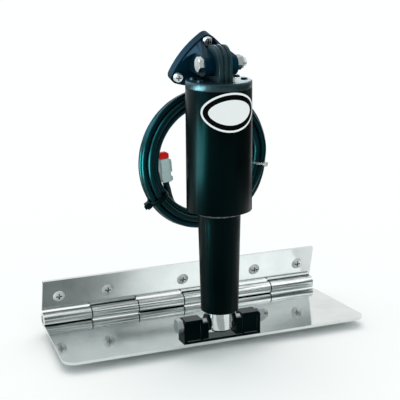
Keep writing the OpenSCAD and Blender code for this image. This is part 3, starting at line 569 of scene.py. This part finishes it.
# Printed vinyl: nearly without shine, so the print stays clear in any light.
printed_vinyl, tree, shader = finish("printed_vinyl_oval", Roughness=0.4, Specular_IOR_Level=0.03)
where = add(tree, "ShaderNodeTexCoord").outputs["Object"]
spot = add(tree, "ShaderNodeVectorMath", {0: where}, {1: (middle.x, RAM.y, middle.z)},
           operation="SUBTRACT").outputs[0]
ratio = add(tree, "ShaderNodeVectorMath", {0: spot}, {1: per_half}, operation="MULTIPLY").outputs[0]
value = add(tree, "ShaderNodeVectorMath", {0: ratio}, operation="LENGTH").outputs["Value"]
facing = add(tree, "ShaderNodeSeparateXYZ", {0: spot}).outputs["Y"]
facing = add(tree, "ShaderNodeMath", {0: facing}, {1: 1 / wall}, operation="MULTIPLY").outputs[0]
turned = add(tree, "ShaderNodeCombineXYZ", {"X": facing}, {"Z": 1}).outputs[0]
slope = add(tree, "ShaderNodeVectorMath", {0: ratio}, {1: per_half}, operation="MULTIPLY").outputs[0]
slope = add(tree, "ShaderNodeVectorMath", {0: slope, 1: turned}, operation="MULTIPLY").outputs[0]
slope = add(tree, "ShaderNodeVectorMath", {0: slope}, operation="LENGTH").outputs["Value"]
slope = add(tree, "ShaderNodeMath", {0: slope, 1: value}, operation="DIVIDE").outputs[0]
fall = add(tree, "ShaderNodeMath", {1: value}, {0: 1}, operation="SUBTRACT").outputs[0]
inward = add(tree, "ShaderNodeMath", {0: fall, 1: slope}, operation="DIVIDE").outputs[0]
share = add(tree, "ShaderNodeMath", {0: inward}, {1: 1000 / RAMP_MM}, operation="MULTIPLY").outputs[0]
bands = add(tree, "ShaderNodeValToRGB", {"Fac": share}, stops=BANDS)
bands.color_ramp.interpolation = "CONSTANT"
grain = add(tree, "ShaderNodeTexNoise", {"Vector": where}, {"Scale": 1000 / VINYL_GRAIN_MM})
relief = add(tree, "ShaderNodeBump", {"Height": grain.outputs["Fac"]},
             {"Strength": VINYL_STRENGTH, "Distance": VINYL_BUMP_MM * MM})
tree.links.new(bands.outputs[0], shader.inputs["Base Color"])
tree.links.new(relief.outputs[0], shader.inputs["Normal"])
wears(printed_vinyl, "oval_plate")

# %% [markdown]
# ## The set
# The tab stands on a low riser on a white floor, so a soft shadow gathers under the blade's edges. The
# riser stays well inside the blade's outline, out of sight. Both are plain blocks of matt paper, and
# they aren't part of the tab.

# %% Floor and riser
RISER, INSET, RISER_GAP = 8, 34, 0.1
FLOOR_MM, FLOOR_T, CARD_EDGE = 8000, 4, 0.5
PAPER, PAPER_ROUGH = "#FCFDFD", 0.9
TO_ORIGIN = Matrix.Translation(-RAM / MM)


def stage_block(name, size, middle):
    """A block of matt paper, placed from the frame's origin."""
    bm = bmesh.new()
    block(bm, size, middle, CARD_EDGE)
    made = into_object(bm, name, TO_ORIGIN)
    paper, tree, shader = finish(name + "_paper", Roughness=PAPER_ROUGH, Specular_IOR_Level=0)
    shader.inputs["Base Color"].default_value = linear(PAPER)
    made.data.materials.append(paper)
    return made


floor = stage_block("floor", (FLOOR_MM, FLOOR_MM, FLOOR_T), (0, 0, -RISER - FLOOR_T / 2))
low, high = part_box("blade")
size, middle = (high - low) / MM, (high + low) / MM / 2
riser = stage_block("riser", (size.x - 2 * INSET, size.y - 2 * INSET, RISER - RISER_GAP),
                    (middle.x, middle.y, -(RISER + RISER_GAP) / 2))
print("stage", floor.name, riser.name)

# %% [markdown]
# ### Soft panels
# Black plastic shows its form only by what it mirrors, and polished steel mirrors everything. One set
# of lamps can't suit both, so each panel is seen in the gloss of chosen pieces alone, by light linking,
# and lights nothing else. A panel at the left draws the long highlight down the housing, and one above
# it catches the coil and the fasteners. Two behind give the upper bracket its blue, and the cap and the
# lower bracket their pale tops. One high at the front right whitens the right side of the leaf. Places
# and sizes are in metres, and a panel is set by its radiance, where 1 is as bright as the room.

# %% Soft panels


def soft_light(name, place, target, size, radiance, colour, pieces):
    """An even soft panel that is seen only in the gloss of the chosen pieces."""
    lamp = bpy.data.lights.new(name, "AREA")
    lamp.shape = "RECTANGLE"
    lamp.size, lamp.size_y = size
    lamp.energy, lamp.color = radiance * math.pi * size[0] * size[1], linear(colour)[:3]
    made = bpy.data.objects.new(name, lamp)
    made.location = place
    made.rotation_euler = (Vector(target) - Vector(place)).to_track_quat("-Z", "Y").to_euler()
    made.visible_camera = made.visible_diffuse = made.visible_transmission = False
    scene.collection.objects.link(made)
    chosen = bpy.data.collections.new(name + "_pieces")
    for piece in pieces:
        chosen.objects.link(piece)
    made.light_linking.receiver_collection = chosen


BLACK = ("actuator_housing", "lower_bracket", "lower_spacers", "upper_bracket", "top_cap", "cap_screws",
         "cable_gland")
FASTENERS = ("leaf_screws", "upper_bracket_screws", "lower_bolt", "lower_nut", "upper_bolt", "upper_nut")
PLATES = ("blade", "transom_leaf", "leaf_screws", "hinge_pin")
black_pieces = [nodes[n] for n in BLACK] + [cable, dark_tie]
fasteners, plates = [nodes[n] for n in FASTENERS], [nodes[n] for n in PLATES]
soft_light("left_strip", (-0.42, -0.05, 0.11), (0, -0.05, 0.11), (0.24, 0.22), 38, "#D4F0F2", black_pieces)
soft_light("top_left", (-1.0, 0.05, 0.85), (0, -0.05, 0.25), (0.6, 0.6), 14, "#A8DCF0",
           black_pieces + fasteners)
soft_light("back_left", (-0.28, 0.40, 0.46), (-0.10, -0.05, 0.30), (0.5, 0.32), 4.5, "#3C90B8", black_pieces)
soft_light("back_right", (0.22, 0.47, 0.335), (0, -0.04, 0.225), (0.24, 0.12), 5, "#DDF2F6", black_pieces)
soft_light("front_right", (1.25, -1.5, 1.7), (0, 0, 0.05), (1.1, 1.1), 0.75, "#FFFFFF", plates)

# %% [markdown]
# ### Sun and room
# A broad, high light from behind lays the soft shadow in front of the blade, and a white room fills the
# rest. The camera, gloss and clear plastic see the room as plain white, which is the background.

# %% Sun and room
SUN_FROM, SUN_SPREAD, SUN_LEVEL, SUN_COLOUR = Vector((0.15, 0.45, 0.9)), math.radians(50), 1.0, "#FFF3EE"
FILL_LEVEL, FILL_COLOUR, WHITE_LEVEL, WHITE = 0.84, "#F1FAFA", 1.0, "#FFFFFF"
sun = bpy.data.objects.new("high_sun", bpy.data.lights.new("high_sun", "SUN"))
sun.data.energy, sun.data.color, sun.data.angle = SUN_LEVEL, linear(SUN_COLOUR)[:3], SUN_SPREAD
sun.rotation_euler = SUN_FROM.to_track_quat("Z", "Y").to_euler()
sun.visible_glossy = False
scene.collection.objects.link(sun)

world = bpy.data.worlds.new("white_room")
scene.world = world
world.use_nodes = True
tree = world.node_tree
tree.nodes.clear()
path = add(tree, "ShaderNodeLightPath").outputs
seen = add(tree, "ShaderNodeMath", {0: path["Is Camera Ray"], 1: path["Is Glossy Ray"]}, operation="MAXIMUM")
seen = add(tree, "ShaderNodeMath", {0: seen.outputs[0], 1: path["Is Transmission Ray"]}, operation="MAXIMUM")
fill = add(tree, "ShaderNodeBackground", values={"Color": linear(FILL_COLOUR), "Strength": FILL_LEVEL})
white = add(tree, "ShaderNodeBackground", values={"Color": linear(WHITE), "Strength": WHITE_LEVEL})
both = add(tree, "ShaderNodeMixShader", {0: seen.outputs[0], 1: fill.outputs[0], 2: white.outputs[0]})
add(tree, "ShaderNodeOutputWorld", {"Surface": both.outputs[0]})
scene.view_settings.view_transform = "Standard"
print("sun", sun.name, "room", world.name)

# %% [markdown]
# ### Flags
# In an all-white room polished steel would look like paper, so glowing grey cards give it something to
# mirror, as a photographer's flags do. Only gloss sees them. The front one makes the grey left half of the
# leaf.
# The right one darkens the right of the housing, the barrels and the blade. The ones behind and on the
# floor keep the housing's edges dark, and a pale one on the table shows in the near part of the blade.
# The plates would also mirror the black actuator in dark stripes; the photograph has none, so gloss
# sees only some of the pieces.

# %% Flags
CARD_LIFT = 0.6


def flag(name, size, place, shade):
    """A glowing card of an even shade that only gloss sees."""
    bm = bmesh.new()
    block(bm, size, place, CARD_EDGE)
    made = into_object(bm, name, TO_ORIGIN)
    made.visible_camera = made.visible_diffuse = made.visible_shadow = made.visible_transmission = False
    # The card glows with its shade, as a lamp does, and nothing lights it.
    glow, tree, shader = finish(name + "_cloth", Roughness=1, Specular_IOR_Level=0, Emission_Strength=1)
    shader.inputs["Base Color"].default_value = linear("#000000")
    shader.inputs["Emission Color"].default_value = linear(shade)
    made.data.materials.append(glow)


REFLECTED = ("blade", "transom_leaf", "leaf_screws", "hinge_pin", "lower_bolt", "lower_nut", "top_cap",
             "upper_bracket", "upper_bracket_screws", "upper_bolt")
flag("right_flag", (4, 720, 250), (350, -240, 125), "#5C6464")
flag("back_flag", (700, 4, 190), (-300, 380, 95), "#5C6464")
flag("front_flag", (1700, 4, 2500), (-190, -1500, 1350), "#8A9090")
flag("floor_card", (700, 420, 1), (150, 450, CARD_LIFT - RISER), "#4C5454")
flag("table_card", (240, 160, 1), (-90, -185, CARD_LIFT - RISER), "#A6ACAC")
for name, piece in nodes.items():
    piece.visible_glossy = name in REFLECTED
print("gloss sees", ", ".join(REFLECTED))
